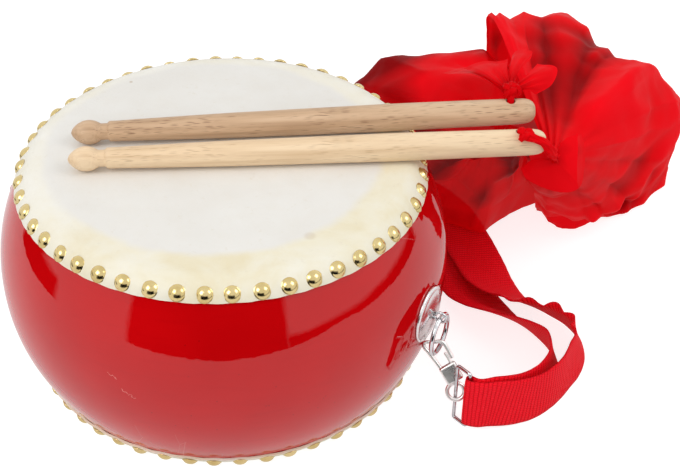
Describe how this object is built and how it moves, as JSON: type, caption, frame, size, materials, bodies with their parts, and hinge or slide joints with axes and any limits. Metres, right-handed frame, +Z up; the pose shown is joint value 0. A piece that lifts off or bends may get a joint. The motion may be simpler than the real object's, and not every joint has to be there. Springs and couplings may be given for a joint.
{
  "type": "waist drum with sticks and strap",
  "caption": "Barrel hand drum with tacked skins, hung on a clip-on webbing strap from two side rings, with two bead-tipped sticks that carry silk cloths.",
  "frame": {"origin": "centre of the lower head's flat face, on the surface that the drum stands on", "axes": "+Z up along the drum's axis; +X to the strap ring that faces the viewer's right; the sticks' cloths hang behind, towards +Y"},
  "size_m": [0.4285, 0.4995, 0.1749],
  "materials": {
    "red_lacquer": "glossy red lacquer on wood",
    "drum_skin": "pale stretched hide, held by domed brass tacks",
    "chrome": "polished chrome plate",
    "steel": "plated steel wire and washer",
    "cast_hook": "plated zinc casting",
    "red_webbing": "ribbed woven webbing",
    "beech_dark": "turned beech with brown flecks",
    "beech_pale": "turned beech, pale",
    "red_silk": "thin translucent satin"
  },
  "bodies": {
    "drum": {"drum_shell": "red_lacquer", "top_head": "drum_skin", "bottom_head": "drum_skin", "ring_plate_near": "chrome", "ring_plate_far": "chrome", "pin_washer_near": "steel", "pin_washer_far": "steel", "eye_pin_near": "chrome", "eye_pin_far": "chrome", "strap_webbing": "red_webbing"},
    "ring_near": {"strap_ring_near": "chrome"},
    "ring_far": {"strap_ring_far": "chrome"},
    "hook_near": {"hook_body_near": "cast_hook", "gate_pin_near": "steel", "gate_spring_near": "steel", "strap_loop_near": "steel"},
    "hook_far": {"hook_body_far": "cast_hook", "gate_pin_far": "steel", "gate_spring_far": "steel", "strap_loop_far": "steel"},
    "gate_near": {"hook_gate_near": "cast_hook"},
    "gate_far": {"hook_gate_far": "cast_hook"},
    "stick_upper": {"stick_upper": "beech_dark", "cloth_upper": "red_silk"},
    "stick_lower": {"stick_lower": "beech_pale", "cloth_lower": "red_silk"}
  },
  "joints": [
    {"name": "hook_near_pull", "type": "slide", "parent": "drum", "child": "hook_near", "axis": [0.9879, 0, 0.1554], "range_m": [0, 0.008], "deforming": ["strap_webbing"]},
    {"name": "hook_far_pull", "type": "slide", "parent": "drum", "child": "hook_far", "axis": [-0.9879, 0, 0.1554], "range_m": [0, 0.008], "deforming": ["strap_webbing"]},
    {"name": "ring_near_swing", "type": "hinge", "parent": "drum", "child": "ring_near", "pos_m": [0.14784, 0, 0.0715], "axis": [0, -1, 0], "range_deg": [0, 20]},
    {"name": "ring_far_swing", "type": "hinge", "parent": "drum", "child": "ring_far", "pos_m": [-0.14784, 0, 0.0715], "axis": [0, 1, 0], "range_deg": [0, 20]},
    {"name": "gate_near_open", "type": "hinge", "parent": "hook_near", "child": "gate_near", "pos_m": [0.1618, -0.00209, 0.0335], "axis": [0.3188, -0.8023, 0.5047], "range_deg": [0, 20], "stiffness_Nm_per_rad": 0.02, "springref_deg": -20.05, "deforming": ["gate_spring_near"]},
    {"name": "gate_far_open", "type": "hinge", "parent": "hook_far", "child": "gate_far", "pos_m": [-0.1618, 0.00209, 0.0335], "axis": [-0.3188, 0.8023, 0.5047], "range_deg": [0, 20], "stiffness_Nm_per_rad": 0.02, "springref_deg": -20.05, "deforming": ["gate_spring_far"]},
    {"name": "stick_upper_lift", "type": "slide", "parent": "drum", "child": "stick_upper", "axis": [0, 0, 1], "range_m": [0, 0.15], "deforming": ["cloth_upper"]},
    {"name": "stick_lower_lift", "type": "slide", "parent": "drum", "child": "stick_lower", "axis": [0, 0, 1], "range_m": [0, 0.15], "deforming": ["cloth_lower"]}
  ],
  "couplings": [
    {"joint": "ring_near_swing", "follows": "hook_near_pull", "rad_per_m": 38.7},
    {"joint": "ring_far_swing", "follows": "hook_far_pull", "rad_per_m": 38.7}
  ]
}
